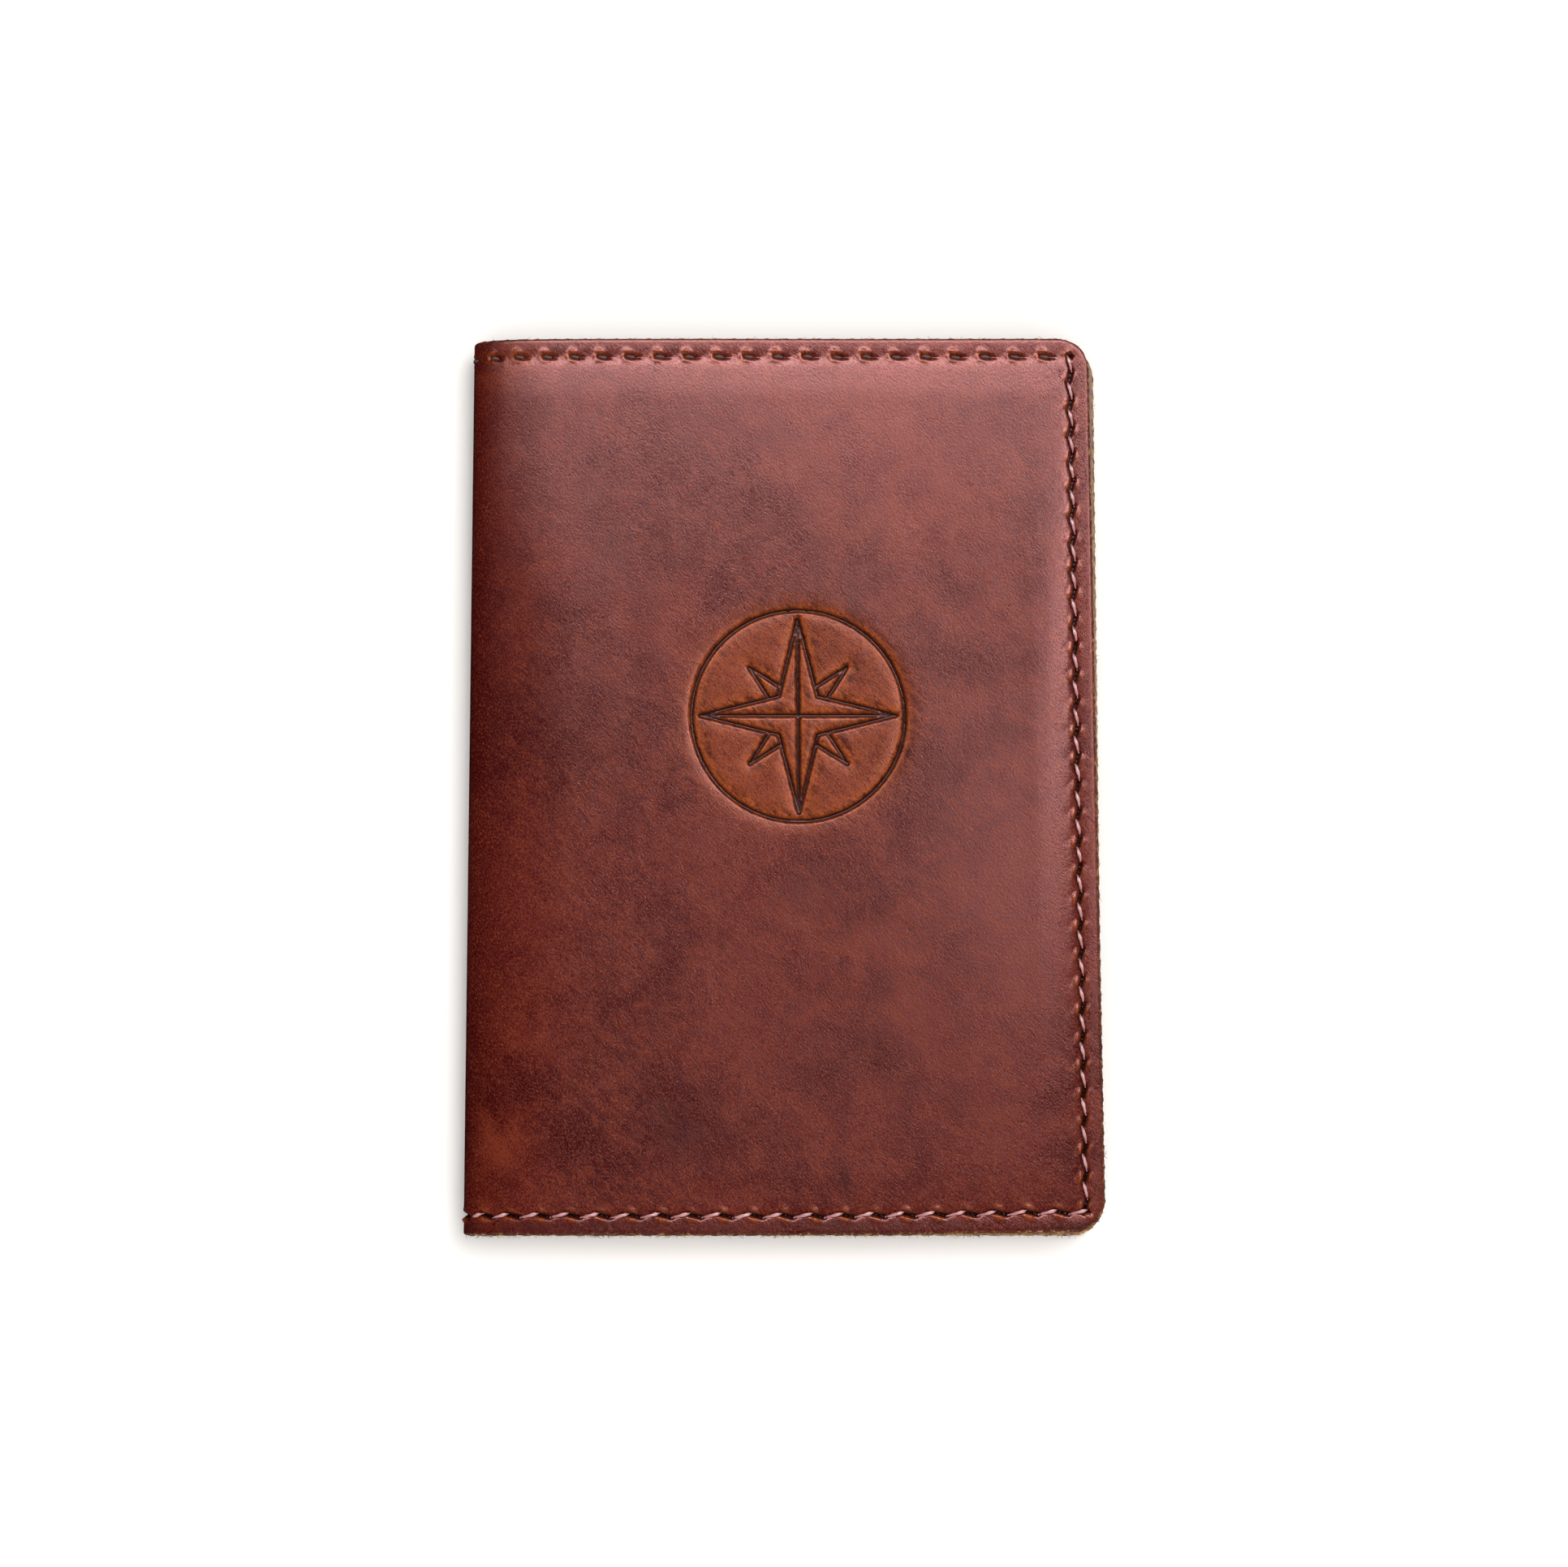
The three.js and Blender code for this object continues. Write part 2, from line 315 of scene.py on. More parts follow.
def rose_distance(x, y):
    """Distance to the nearest stamped line, and distance from the rose's centre."""
    px, py = x - ROSE_X, y - ROSE_Y
    radius = np.hypot(px, py)
    nearest = np.abs(radius - RING_RADIUS)
    for a, b in rose_lines():
        span = b - a
        t = np.clip(((px - a[0]) * span[0] + (py - a[1]) * span[1]) / (span @ span), 0, 1)
        nearest = np.minimum(nearest, np.hypot(px - a[0] - t * span[0], py - a[1] - t * span[1]))
    return nearest, radius


def stamp_relief(x, y):
    """Height, painted shade in the grooves, burnish, and scorching with painted shade by the rose's lines.
    """
    line, radius = rose_distance(x, y)
    groove = 1 - smooth((line - 0.14 * LINE_WIDTH) / (0.42 * LINE_WIDTH))
    inside = 1 - smooth((radius - RING_RADIUS + 0.4) / 1.6)
    shoulder = bell(line, 1.35)
    height = -STAMP_DEPTH * groove - 0.16 * shoulder - 0.06 * inside
    burnish = np.minimum(1, 0.34 * inside + 0.60 * bell(line, 1.3) + 0.22 * bell(line, 3.2))
    # Scorching with painted shade: the leather beside the lines is painted darker.
    scorch_and_shade = 0.85 * bell(line - 0.85, 0.48)
    return height, groove, burnish, scorch_and_shade


def booklet_relief(x, v, depth):
    """The leather is drawn down round the booklet, whose edge shows as a faint ridge."""
    over_x = x - CARD_HIGH[0] - 1.2
    over_y = np.abs(v) - CARD_HIGH[1] - 0.6
    fall_x = 0.97 * np.clip(over_x / 6.6, 0, 1) ** 2.2
    fall_y = 0.66 * (v / HALF_HEIGHT) ** 2 + 0.28 * smooth((over_y + 1.5) / 9)
    ridge = 0.04 * bell(over_x + 0.1, 0.9) * (1 - fall_y) + 0.02 * bell(over_y, 0.8) * (1 - fall_x)
    return depth * (ridge - 1 + (1 - fall_x) * (1 - fall_y))


def leather_broad(s, v, side):
    """Height of the outer face without its fine detail."""
    x = leather_base(s)[0]
    depth = 0.64 if side == "front" else 0.34
    swell = 0.16 if side == "front" else 0.05
    waves = gentle_waves(x, v, 11, 60, swell) * smooth((s - 1) / 14)
    return booklet_relief(x, v, depth) * smooth(s / 9) + waves + spine_fall(s)


def spine_fall(s):
    """The cover rounds over from the spine for a good way before it lies flat, and the card with it."""
    return -1.05 * smooth(s / 7) * np.exp(-np.maximum(s - 4, 0) / 8)


def leather_fine(s, v, side):
    """Height and paint masks of the outer face, on one half of the cover."""
    x = leather_base(s)[0]
    height, dark, pull = stitch_relief(s, v, 0.0)
    height += leather_broad(s, v, side)
    height += rounded_edge(edge_distance(s, v))
    if side == "front":
        stamp, groove, burnish, _ = stamp_relief(x, v)
        height += stamp
        # Painted shade: the stamped grooves are painted dark.
        dark = np.maximum(dark, groove)
        pull = np.maximum(pull, burnish)
    return height, dark, pull


def sleeve_broad(s, v, side):
    """The card cover inside lifts the sleeve a little."""
    outside = np.maximum(np.abs(v) - CARD_HIGH[1] - 0.5, s - FORE_S + FORE_X - CARD_HIGH[0] - 0.5)
    return -(0.10 if side == "front" else 0.36) * smooth(outside / 4)


def sleeve_fine(s, v, side):
    height, dark, pull = stitch_relief(s, v, SLEEVE_START)
    height += sleeve_broad(s, v, side) + rounded_edge(edge_distance(s, v), 0.35)
    from_mouth = s - SLEEVE_START
    height += rounded_edge(from_mouth, 0.35) - 0.16 * bell(from_mouth - 2.2, 0.3)
    return height, dark, pull


# ---------------- patches of the shell

class Sheet:
    """Vertices in s and v with the faces that join them."""

    def __init__(self):
        self.sv = []
        self.faces = []
        self.count = 0

    def add(self, s, v):
        index = np.arange(self.count, self.count + s.size).reshape(s.shape)
        self.sv.append(np.stack([s.ravel(), v.ravel()], -1))
        self.count += s.size
        return index

    def quads(self, grid):
        a, b = grid[:-1, :-1].ravel(), grid[1:, :-1].ravel()
        c, d = grid[1:, 1:].ravel(), grid[:-1, 1:].ravel()
        self.faces += np.stack([a, b, c, d], -1).tolist()

    def zip(self, one, other, place_one, place_other):
        """Triangles between two chains that run side by side."""
        i = j = 0
        while i < len(one) - 1 or j < len(other) - 1:
            step_one = step_other = math.inf
            if i < len(one) - 1:
                step_one = math.dist(place_one[i + 1], place_other[j])
            if j < len(other) - 1:
                step_other = math.dist(place_one[i], place_other[j + 1])
            if step_one <= step_other:
                self.faces.append([int(one[i]), int(one[i + 1]), int(other[j])])
                i += 1
            else:
                self.faces.append([int(one[i]), int(other[j + 1]), int(other[j])])
                j += 1

    def places(self):
        return np.concatenate(self.sv)


def outline_chain(start_s, inset, radius, spacing, counts=None):
    """Points along the outline moved in by inset: head row, fore edge and tail row."""
    fore, side = FORE_S - inset, HALF_HEIGHT - inset
    runs = [fore - radius - start_s, radius * math.pi / 2, 2 * (side - radius)]
    if counts is None:
        counts = [max(6, math.ceil(run / spacing)) for run in runs]
    n_row, n_arc, n_fore = counts
    row_s = np.linspace(start_s, fore - radius, n_row + 1)
    angle = np.linspace(math.pi / 2, 0, n_arc + 1)[1:]
    arc = np.stack([fore - radius + radius * np.cos(angle), side - radius + radius * np.sin(angle)], -1)
    fore_v = np.linspace(side - radius, radius - side, n_fore + 1)[1:]
    head = np.concatenate([np.stack([row_s, np.full_like(row_s, side)], -1), arc])
    middle = np.stack([np.full_like(fore_v, fore), fore_v], -1)
    tail = (head * [1, -1])[::-1][1:]
    return np.concatenate([head, middle, tail]), counts


BORDER = 7.0             # width of the finely divided border
EDGE_SPACING = 0.32      # along the outer leather's outline
INTERIOR_S = FORE_S - BORDER - 0.6
INTERIOR_V = HALF_HEIGHT - BORDER - 0.6


def fine_face(sheet, start_s, spacing, interior_s, interior_v):
    """The face with the stitches: a finely divided border, and an interior joined to it."""
    outer, counts = outline_chain(start_s, 0, CORNER, spacing)
    inner, _ = outline_chain(start_s, BORDER, 0.8, spacing, counts)
    insets = np.concatenate([
        [0, 0.05, 0.13, 0.26, 0.45, 0.8, 1.2],
        np.arange(1.6, 4.5, 0.2),
        [4.8, 5.4, 6.1, BORDER],
    ]) / BORDER
    points = outer[:, None, :] + (inner - outer)[:, None, :] * insets[None, :, None]
    ribbon = sheet.add(points[..., 0], points[..., 1])
    sheet.quads(ribbon)
    v, s = np.meshgrid(interior_v, interior_s)
    middle = sheet.add(s, v)
    sheet.quads(middle)
    places = sheet.places()
    head = middle[:, -1]
    fore = middle[-1, ::-1][1:]
    tail = middle[::-1, 0][1:]
    boundary = np.concatenate([head, fore, tail])
    sheet.zip(ribbon[:, -1], boundary, places[ribbon[:, -1]], places[boundary])
    start_row = np.concatenate([ribbon[0], middle[0, ::-1], ribbon[-1, ::-1]])
    return ribbon[:, 0], start_row


def round_corners(along, across, end, side, radius):
    """Draws a grid's two far corners in to a round outline."""
    p = np.clip((along - end + radius) / radius, 0, 1)
    q = np.clip((np.abs(across) - side + radius) / radius, 0, 1)
    inside = (p > 0) & (q > 0)
    new_along = end - radius + radius * p * np.sqrt(1 - q * q / 2)
    new_across = np.sign(across) * (side - radius + radius * q * np.sqrt(1 - p * p / 2))
    return np.where(inside, new_along, along), np.where(inside, new_across, across)


def plain_face(sheet, start_s, spacing):
    """The hidden or plainer face: a coarse grid whose far corners are drawn in to the round outline."""
    near = [0.12, 0.35, 0.8, 1.6]
    s = graded(start_s, FORE_S - 2.4, spacing, [(0, BEND_LENGTH, 0.7)] if start_s == 0 else [])
    s = np.concatenate([s, FORE_S - np.array(near[::-1]), [FORE_S]])
    side = graded(0, HALF_HEIGHT - 2.4, spacing)
    side = np.concatenate([side, HALF_HEIGHT - np.array(near[::-1]), [HALF_HEIGHT]])
    v = np.concatenate([-side[::-1], side[1:]])
    vv, ss = np.meshgrid(v, s)
    grid = sheet.add(*round_corners(ss, vv, FORE_S, HALF_HEIGHT, CORNER))
    sheet.quads(grid)
    chain = np.concatenate([grid[:, -1], grid[-1, ::-1][1:], grid[::-1, 0][1:]])
    return chain, grid[0, ::-1]


def leather_shell(name, base, side, start_s, thickness, fine, broad, interior_s, interior_v, spacing):
    """A closed sheet of leather: stitched face, raw edge, plain face and the end at start_s."""
    sheet = Sheet()
    outer_chain, outer_start = fine_face(sheet, start_s, spacing, interior_s, interior_v)
    n_face = sheet.count
    places = sheet.places()
    edge_row = sheet.add(places[outer_chain, 0], places[outer_chain, 1])
    sheet.quads(np.stack([outer_chain, edge_row], -1))
    n_edge = sheet.count
    inner_chain, inner_start = plain_face(sheet, start_s, 2.0)
    places = sheet.places()
    sheet.zip(edge_row, inner_chain, places[edge_row], places[inner_chain])
    wide_start = np.concatenate([[edge_row[0]], outer_start, [edge_row[-1]]])
    sheet.zip(wide_start, inner_start, places[wide_start], places[inner_start])

    s, v = places[:, 0], places[:, 1]
    is_edge = np.zeros(len(s), bool)
    is_edge[n_face:n_edge] = True
    is_inner = np.arange(len(s)) >= n_edge
    near_edge = edge_distance(s, v)
    height, dark, pull = fine(s, v, side)
    plain = broad(s, v, side)
    drawn_in = 0.3 * (1 - smooth(near_edge / 0.5))
    height = np.where(is_inner, plain - thickness + drawn_in, height)
    height = np.where(is_edge, plain - thickness / 2, height)
    points = place(base, s, v, height, side)
    bulge_out(points, s, v, is_edge)
    piece = mesh_from(name, points, sheet.faces)
    away_s, away_v = outward(s, v)
    edge_u = s + is_edge * away_s * thickness / 2
    edge_v = v + is_edge * away_v * thickness / 2
    write_uv(piece, edge_u if side == "front" else -edge_u, edge_v)
    # The slit mask: painted shade in the slits, thread beds and stamped grooves.
    paint(piece, "slit", np.where(is_inner | is_edge, 0, dark))
    paint(piece, "pull", np.where(is_inner | is_edge, 0, pull))
    paint(piece, "raw", np.where(is_edge, 1, np.where(is_inner, 0, bell(near_edge, 0.2))))
    paint(piece, "flesh", is_inner)
    return piece


def outward(s, v):
    """Direction out of the sheet near its outline, across the rows and round the corners."""
    away_s = np.clip((s - FORE_S + CORNER) / CORNER, 0, 1)
    away_v = np.clip((np.abs(v) - HALF_HEIGHT + CORNER) / CORNER, 0, 1) * np.sign(v)
    size = np.maximum(np.hypot(away_s, away_v), 1e-6)
    return away_s / size, away_v / size


def bulge_out(points, s, v, is_edge):
    """The middle of the raw edge stands a little proud, unevenly, as cut fibres do."""
    along = s + v
    rough = 0.10 + 0.06 * np.sin(along * 2.3) + 0.05 * np.sin(along * 5.9 + 1)
    away_s, away_v = outward(s, v)
    points[is_edge, 0] += (rough * away_s)[is_edge]
    points[is_edge, 1] += (rough * away_v)[is_edge]


# ---------------- meshes

def mesh_from(name, points, faces, smooth_angle=55):
    """A mesh object with its faces pointing out, from points in millimetres."""
    data = bpy.data.meshes.new(name)
    data.from_pydata((np.asarray(points) * MM).tolist(), [], faces)
    work = bmesh.new()
    work.from_mesh(data)
    bmesh.ops.recalc_face_normals(work, faces=work.faces)
    work.to_mesh(data)
    work.free()
    data.shade_smooth()
    data.set_sharp_from_angle(angle=math.radians(smooth_angle))
    data.update()
    piece = bpy.data.objects.new(name, data)
    bpy.context.scene.collection.objects.link(piece)
    return piece


def write_uv(piece, u, v):
    """UVs in units of 100 mm."""
    data = piece.data
    layer = data.uv_layers.new(name="leather")
    index = np.zeros(len(data.loops), np.int32)
    data.loops.foreach_get("vertex_index", index)
    flat = np.stack([u[index], v[index]], -1) / 100
    layer.data.foreach_set("uv", flat.astype(np.float32).ravel())


def paint(piece, name, values):
    attribute = piece.data.attributes.new(name, "FLOAT", "POINT")
    attribute.data.foreach_set("value", np.asarray(values, np.float32))


# ---------------- outer leather


def bend_with_cover(piece):
    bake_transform(piece)


def seam_lines(zones, coarse):
    """s of the interior's rows, very close at the middle of the spine, where the halves meet."""
    bend = graded(0.3, BEND_LENGTH + 2, 0.45)
    rest = graded(BEND_LENGTH + 2, INTERIOR_S, coarse, zones)
    return np.concatenate([[0, 0.04, 0.12], bend, rest[1:]])


def make_outer_leather(side):
    reach = RING_RADIUS + 1.6
    rose_s = ROSE_X - FORE_X + FORE_S
    if side == "front":
        zone_s = [(rose_s - reach, rose_s + reach, STAMP_SPACING)]
        zone_v = [(ROSE_Y - reach, ROSE_Y + reach, STAMP_SPACING)]
        coarse = 1.1
    else:
        zone_s, zone_v, coarse = [], [], 1.5
    piece = leather_shell(
        f"{side}_leather", leather_base, side, 0.0, LEATHER, leather_fine, leather_broad,
        seam_lines(zone_s, coarse), graded(-INTERIOR_V, INTERIOR_V, coarse, zone_v), EDGE_SPACING,
    )
    paint_marks(piece, side)
    return piece


# Marks on the front face, as x, y, half lengths along x and y, slant in degrees and strength.
STAINS = [
    (-16.0, -54.2, 4.6, 5.2, 20, 0.75), (-11.5, -56.5, 3.2, 4.0, 0, 0.4), (9.4, -63.5, 1.2, 2.4, 10, 0.8),
    (-31.0, 47.0, 2.2, 8.0, 4, 0.35), (-28.0, 38.0, 3.5, 6.0, -8, 0.35), (11.3, 28.0, 1.4, 4.2, 6, 0.5),
    (-13.5, 52.0, 1.5, 8.5, 52, 0.35), (39.5, -17.5, 0.7, 0.9, 0, 0.8), (4.0, -17.0, 5.0, 3.0, 15, 0.25),
    (-36.0, 14.0, 5.0, 9.0, 10, 0.3), (12.0, -43.0, 8.0, 5.0, -12, 0.2),
]
WORN = [
    (-45.0, -58.0, 4.0, 7.0, 0, 0.55), (-40.0, -36.0, 4.0, 8.0, 0, 0.35), (-44.5, 68.0, 5.0, 3.5, 0, 0.8),
    (16.0, 43.0, 13.0, 9.0, -8, 0.35), (-10.0, 20.0, 12.0, 10.0, 0, 0.2),
    (12.0, -28.0, 16.0, 12.0, 0, 0.18), (-46.5, -69.0, 2.0, 2.4, 0, 1.0),
    (26.0, 20.0, 12.0, 14.0, 12, 0.25),
]
WRINKLED = [
    (31.0, 13.5, 13.0, 5.5, -14, 1.0), (-13.0, 53.0, 5.0, 10.0, 40, 0.8), (42.0, -33.0, 4.5, 24.0, 0, 0.7),
]


def spots(x, y, marks):
    """A soft mask of leaning oval spots."""
    total = np.zeros_like(x)
    for cx, cy, half_x, half_y, slant, strength in marks:
        turn = math.radians(slant)
        px = (x - cx) * math.cos(turn) + (y - cy) * math.sin(turn)
        py = (y - cy) * math.cos(turn) - (x - cx) * math.sin(turn)
        total = np.maximum(total, strength * np.exp(-((px / half_x) ** 2) - (py / half_y) ** 2))
    return total


def matte_mask(x, y, side):
    """Where the leather is dry and gives little sheen: in the stamp, and by the spine up to its head."""
    near_head = smooth((y - 20) / 35)
    matte = 1 - smooth((x - SPINE_X - 8 + 6 * near_head) / 12)
    if side == "front":
        radius = np.hypot(x - ROSE_X, y - ROSE_Y)
        matte = np.maximum(matte, 0.55 * (1 - smooth((radius - RING_RADIUS) / 2)))
    return matte


def paint_marks(piece, side):
    """Paints painted shade by the spine and by the stamp's lines, scorching, stains, wear, wrinkles and
    matte.

    The back has the front's spots, turned and fainter.
    """
    data = piece.data
    points = np.zeros(len(data.vertices) * 3)
    data.vertices.foreach_get("co", points)
    points = points.reshape(-1, 3) / MM
    x, y = points[:, 0], points[:, 1]
    if side == "back":
        x, y = x + 8, -y + 6
    # Painted shade: the faces are painted darker towards the spine.
    paint(piece, "spine_shade", 0.85 * np.exp(-((points[:, 0] - SPINE_X) / 8) ** 2))
    paint(piece, "scorch_and_shade", stamp_relief(x, y)[3] if side == "front" else np.zeros_like(x))
    share = 1.0 if side == "front" else 0.7
    # The strip outside the tail row is painted darker, carried in the stain mask.
    tail_strip_darkening = 0.5 * smooth((-points[:, 1] - STITCH_Y - 0.5) / 0.6)
    paint(piece, "stain", np.maximum(share * spots(x, y, STAINS), tail_strip_darkening))
    paint(piece, "worn", share * spots(x, y, WORN))
    paint(piece, "wrinkle", share * spots(x, y, WRINKLED))
    paint(piece, "matte", matte_mask(points[:, 0], points[:, 1], side))


# ---------------- sleeves

def make_sleeve(side):
    lines_s = graded(SLEEVE_START, INTERIOR_S, 2.0, [(SLEEVE_START, SLEEVE_START + 3.2, 0.16)])
    piece = leather_shell(
        f"{side}_sleeve_leather", sleeve_base, side, SLEEVE_START, SLEEVE_HIGH[2] - sleeve_underside(),
        sleeve_fine, sleeve_broad, lines_s, graded(-INTERIOR_V, INTERIOR_V, 2.0), 0.4,
    )
    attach(piece, f"{side}_cover")
    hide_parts(f"{side}_sleeve")
    return piece


def sleeve_underside():
    """The back sleeve's leather lies this high; its stitched rim reaches down to the panel."""
    card_top = 2 * MID - CARD_LOW[2]
    return card_top + 0.1


# ---------------- stitches

THREAD_RADIUS = 0.27
THREAD_DEPTH = 0.76      # of its ends, under the leather's face
THREAD_RISE = 0.74       # of its middle, above its ends
THREAD_REACH = 0.06      # how far its ends run on under the leather, as a share of the pitch
THREAD_RINGS = 15
THREAD_SIDES = 12


def stitch_tube(base, side, broad, row, number, rng):
    """Ring vertices of one stitch, which rises out of one slit and dives into the next."""
    begin, along, out, _, pitch, manner = row
    t = np.linspace(0, 1, THREAD_RINGS)
    f = -THREAD_REACH + t * (THREAD_SHARE + 2 * THREAD_REACH)
    swing = manner["zigzag"]
    across = -swing + 2 * swing * f / THREAD_SHARE + rng.normal(0, 0.04)
    centre = begin + np.outer((number + f) * pitch, along) + np.outer(across, out)
    s, v = centre[:, 0], centre[:, 1]
    arch = np.sin(math.pi * t ** manner["lean"])
    sunk = manner["sunk"] * smooth(s / SPINE_ROUND - 1)
    height = broad(s, v, side) - THREAD_DEPTH - sunk + (THREAD_RISE + rng.normal(0, 0.04)) * arch
    middle = place(base, s, v, height, side)
    up = unit(place(base, s, v, height + 0.5, side) - middle)
    ahead = unit(np.gradient(middle, axis=0))
    angle = around(THREAD_SIDES)
    ply = 1 + 0.13 * np.cos(2 * (angle[None, :] - 7.5 * t[:, None] + rng.uniform(0, 6)))
    radius = THREAD_RADIUS * (0.62 + 0.38 * arch)[:, None] * ply
    return tube_rings(middle, ahead, np.cross(ahead, up), angle, radius, 0.85)


def around(sides):
    return np.linspace(0, 2 * math.pi, sides, endpoint=False)


def tube_rings(middle, ahead, sideways, angle, radius, height):
    """Vertices round a middle line, whose section is this high for a width of 1."""
    up = np.cross(sideways, ahead) * height
    ring = up[:, None, :] * np.cos(angle)[None, :, None]
    ring = ring + sideways[:, None, :] * np.sin(angle)[None, :, None]
    return middle[:, None, :] + radius[..., None] * ring


def tube_faces(rings, sides, first):
    faces = []
    for i in range(rings - 1):
        for j in range(sides):
            k = (j + 1) % sides
            a, b = first + i * sides, first + (i + 1) * sides
            faces.append([a + j, a + k, b + k, b + j])
    faces.append([first + j for j in range(sides)])
    last = first + (rings - 1) * sides
    faces.append([last + j for j in reversed(range(sides))])
    return faces


def make_stitches(name, base, side, start_s, broad, seed):
    rng = np.random.default_rng(seed)
    points, faces, along, thread_shade, crests = [], [], [], [], []
    per_stitch = THREAD_RINGS * THREAD_SIDES
    for row in stitch_rows(start_s):
        count, manner = row[3], row[5]
        # Painted highlight: each stitch is painted paler towards the top of its arch.
        crest = np.sin(math.pi * np.linspace(0, 1, THREAD_RINGS) ** manner["lean"]) ** 4
        for number in range(count):
            faces += tube_faces(THREAD_RINGS, THREAD_SIDES, len(points) * per_stitch)
            points.append(stitch_tube(base, side, broad, row, number, rng).reshape(-1, 3))
            along.append(np.repeat(np.arange(THREAD_RINGS) * 0.2 + 4 * len(points), THREAD_SIDES))
            crests.append(np.repeat(crest, THREAD_SIDES))
            thread_shade.append(np.full(per_stitch, manner["thread_shade"]))
    piece = mesh_from(name, np.concatenate(points), faces, 70)
    round_the_thread = np.tile(np.arange(THREAD_SIDES) * 0.19, len(points) * THREAD_RINGS)
    write_uv(piece, np.concatenate(along), round_the_thread)
    paint(piece, "thread_shade", np.concatenate(thread_shade))
    paint(piece, "crest", np.concatenate(crests))
    return piece


# ---------------- cut fibres

FIBRES = 420
FIBRE_RINGS = 5
FIBRE_SIDES = 5


def fibre_tube(side, start, away, ahead, rng):
    """Ring vertices of one fibre that stands out of the raw edge and thins to its tip."""
    t = np.linspace(0, 1, FIBRE_RINGS)
    length = rng.uniform(0.2, 0.75)
    lean, curl = rng.normal(0, 0.7), rng.normal(0, 0.5)
    out = -0.15 + length * t
    across = length * (lean * t + curl * t * t)
    s = start[0] + away[0] * out + ahead[0] * across
    v = start[1] + away[1] * out + ahead[1] * across
    ground = leather_broad(np.array([start[0]]), np.array([start[1]]), side)[0]
    height = ground - LEATHER * rng.uniform(0.25, 0.85) + rng.normal(0, 0.15) * t * t
    middle = place(leather_base, s, v, height, side)
    along = unit(np.gradient(middle, axis=0))
    sideways = unit(np.cross(along, [0, 0, 1.0]))
    radius = rng.uniform(0.03, 0.065) * (1 - 0.75 * t)
    return tube_rings(middle, along, sideways, around(FIBRE_SIDES), radius[:, None], 1.0)


def make_fibres(side):
    """Fibres stand out of the raw edge, most of all at the tail and its corner."""
    rng = np.random.default_rng(51 if side == "front" else 52)
    chain, _ = outline_chain(0.0, 0, CORNER, EDGE_SPACING)
    ahead = unit(np.gradient(chain, axis=0))
    away_s, away_v = outward(chain[:, 0], chain[:, 1])
    at_tail = smooth((-chain[:, 1] - HALF_HEIGHT + 9) / 8)
    tufts = 0.35 + 0.65 * np.abs(np.sin(chain[:, 0] * 0.21 + chain[:, 1] * 0.13)) ** 3
    chance = (0.15 + at_tail) * tufts
    picks = rng.choice(len(chain), FIBRES, p=chance / chance.sum())
    points, faces = [], []
    for pick in picks:
        faces += tube_faces(FIBRE_RINGS, FIBRE_SIDES, len(points) * FIBRE_RINGS * FIBRE_SIDES)
        away = (away_s[pick], away_v[pick])
        points.append(fibre_tube(side, chain[pick], away, ahead[pick], rng).reshape(-1, 3))
    points = np.concatenate(points)
    piece = mesh_from(f"{side}_edge_fibres", points, faces, 60)
    write_uv(piece, points[:, 0], points[:, 1])
    bend_with_cover(piece)
    return piece


# ---------------- booklet

def slab_faces(rows, columns, first):
    """Faces of a closed thin sheet whose upper then lower grid vertices start at first."""
    top = first + np.arange(rows * columns).reshape(rows, columns)
    low = top + rows * columns
    faces = []
    for grid in (top, low):
        corners = [grid[:-1, :-1], grid[1:, :-1], grid[1:, 1:], grid[:-1, 1:]]
        faces += np.stack([c.ravel() for c in corners], -1).tolist()
    rim = [(top[0], low[0]), (top[-1], low[-1]), (top[:, 0], low[:, 0]), (top[:, -1], low[:, -1])]
    for upper, under in rim:
        faces += np.stack([upper[:-1], upper[1:], under[1:], under[:-1]], -1).tolist()
    return faces


CORNER_STEPS = np.array([0.7, 0.4, 0.15, 0])


def sheet_lines(side, radius, coarse):
    """Values from -side to side, close together where corners of this radius are round."""
    half = np.concatenate([graded(0, side - radius, coarse), side - radius * CORNER_STEPS])
    return np.concatenate([-half[::-1], half[1:]])


def make_card(side):
    """One half of the card cover, from the middle of its spine into its sleeve."""
    inset = LEATHER + (PANEL_LOW[2] - CARD_HIGH[2])
    end_s = CARD_HIGH[0] - FORE_X + FORE_S
    bend = graded(0.3, BEND_LENGTH + 1, 0.6)
    far_end = end_s - CARD_CORNER * np.append(1, CORNER_STEPS)
    s = np.concatenate([[0, 0.05], bend, np.arange(13, 37, 2.0), [60], far_end])
    v, s = np.meshgrid(sheet_lines(CARD_HIGH[1], CARD_CORNER, 12), s)
    s, v = round_corners(s, v, end_s, CARD_HIGH[1], CARD_CORNER)
    thickness = CARD_HIGH[2] - CARD_LOW[2]
    outer = spine_fall(s.ravel()) - inset
    upper = place(leather_base, s.ravel(), v.ravel(), outer, side)
    lower = place(leather_base, s.ravel(), v.ravel(), outer - thickness, side)
    piece = mesh_from(f"{side}_card_cover", np.concatenate([upper, lower]), slab_faces(*s.shape, 0), 40)
    write_uv(piece, np.tile(s.ravel(), 2), np.tile(v.ravel(), 2))
    bend_with_cover(piece)
    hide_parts(f"{side}_card", *(["card_spine"] if side == "back" else []))
    return piece


LEAVES_PER_HALF = 11
LEAF_THICKNESS = 0.085


